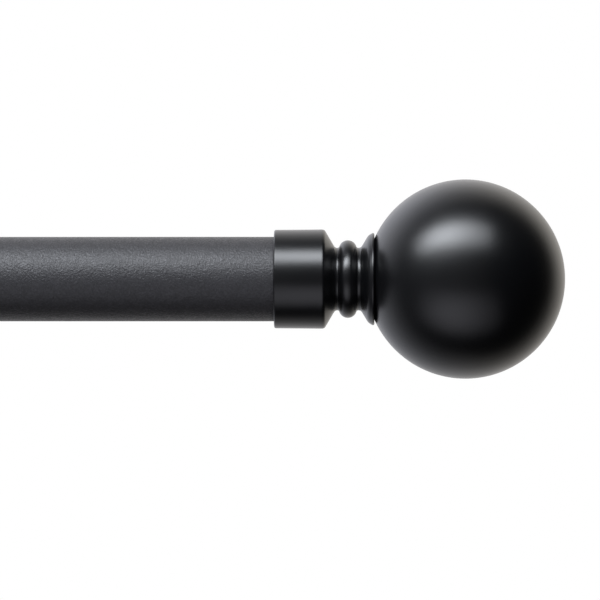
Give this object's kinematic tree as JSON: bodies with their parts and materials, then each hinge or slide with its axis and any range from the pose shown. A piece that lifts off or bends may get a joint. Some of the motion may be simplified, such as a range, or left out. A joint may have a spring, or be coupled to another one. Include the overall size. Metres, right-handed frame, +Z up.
{
  "type": "curtain rod",
  "caption": "Telescoping curtain rod with ball finials on turned collars, held by wall brackets with sliding arms and open cradles.",
  "frame": {"origin": "centre of the right wall plate's back face, on the wall", "axes": "+X along the rod towards the right finial, +Y into the wall, +Z up"},
  "size_m": [0.9124, 0.119, 0.08],
  "materials": {
    "rod_coat": "fine-textured charcoal powder coat on steel",
    "finial_coat": "smooth satin black coat",
    "bracket_coat": "satin black powder coat",
    "black_screw": "black oxide",
    "zinc_steel": "zinc plated",
    "insert_brass": "machined",
    "black_nylon": "moulded nylon",
    "pale_nylon": "moulded nylon"
  },
  "bodies": {
    "right_bracket_base": {"right_wall_plate": "bracket_coat", "right_arm_sleeve": "bracket_coat", "right_sleeve_collar": "bracket_coat"},
    "right_arm": {"right_arm_rod": "bracket_coat", "right_cradle": "bracket_coat", "right_cradle_fixing_screw": "black_screw"},
    "right_lock_screw": {"right_arm_lock_screw": "black_screw"},
    "right_clamp_screw": {"right_rod_clamp_screw": "black_screw"},
    "outer_rod": {"outer_tube": "rod_coat", "mouth_bushing": "black_nylon"},
    "inner_rod": {"inner_tube": "rod_coat", "glide_plug": "pale_nylon"},
    "right_finial": {"right_finial_collar": "finial_coat", "right_finial_stud": "zinc_steel", "right_ball_insert": "insert_brass", "right_finial_ball": "finial_coat"},
    "right_set_screw": {"right_finial_set_screw": "black_screw"},
    "left_finial": {"left_finial_collar": "finial_coat", "left_finial_stud": "zinc_steel", "left_ball_insert": "insert_brass", "left_finial_ball": "finial_coat", "left_adapter_sleeve": "black_nylon"},
    "left_set_screw": {"left_finial_set_screw": "black_screw"},
    "left_bracket_base": {"left_wall_plate": "bracket_coat", "left_arm_sleeve": "bracket_coat", "left_sleeve_collar": "bracket_coat"},
    "left_arm": {"left_arm_rod": "bracket_coat", "left_cradle": "bracket_coat", "left_cradle_fixing_screw": "black_screw"},
    "left_lock_screw": {"left_arm_lock_screw": "black_screw"},
    "left_clamp_screw": {"left_rod_clamp_screw": "black_screw"}
  },
  "joints": [
    {"name": "right_projection", "type": "slide", "parent": "right_bracket_base", "child": "right_arm", "axis": [0, -1, 0], "range_m": [0, 0.038]},
    {"name": "rod_lift", "type": "slide", "parent": "right_arm", "child": "outer_rod", "axis": [0, 0, 1], "range_m": [0, 0.05]},
    {"name": "rod_extend", "type": "slide", "parent": "outer_rod", "child": "inner_rod", "axis": [-1, 0, 0], "range_m": [-0.0508, 0.4572]},
    {"name": "left_bracket_spacing", "type": "slide", "parent": "right_bracket_base", "child": "left_bracket_base", "axis": [-1, 0, 0], "range_m": [-0.0508, 0.4572]},
    {"name": "left_projection", "type": "slide", "parent": "left_bracket_base", "child": "left_arm", "axis": [0, -1, 0], "range_m": [0, 0.038]},
    {"name": "right_finial_off", "type": "slide", "parent": "outer_rod", "child": "right_finial", "axis": [1, 0, 0], "range_m": [0, 0.03]},
    {"name": "left_finial_off", "type": "slide", "parent": "inner_rod", "child": "left_finial", "axis": [-1, 0, 0], "range_m": [0, 0.03]},
    {"name": "right_set_screw_out", "type": "slide", "parent": "right_finial", "child": "right_set_screw", "axis": [0, 1, 0], "range_m": [0, 0.005]},
    {"name": "left_set_screw_out", "type": "slide", "parent": "left_finial", "child": "left_set_screw", "axis": [0, 1, 0], "range_m": [0, 0.005]},
    {"name": "right_clamp_screw_out", "type": "slide", "parent": "right_arm", "child": "right_clamp_screw", "axis": [0, -1, 0], "range_m": [0, 0.004]},
    {"name": "left_clamp_screw_out", "type": "slide", "parent": "left_arm", "child": "left_clamp_screw", "axis": [0, -1, 0], "range_m": [0, 0.004]},
    {"name": "right_lock_screw_out", "type": "slide", "parent": "right_bracket_base", "child": "right_lock_screw", "axis": [0, 0, -1], "range_m": [0, 0.004]},
    {"name": "left_lock_screw_out", "type": "slide", "parent": "left_bracket_base", "child": "left_lock_screw", "axis": [0, 0, -1], "range_m": [0, 0.004]}
  ],
  "couplings": [
    {"joint": "left_bracket_spacing", "follows": "rod_extend", "ratio": 1},
    {"joint": "left_projection", "follows": "right_projection", "ratio": 1}
  ]
}
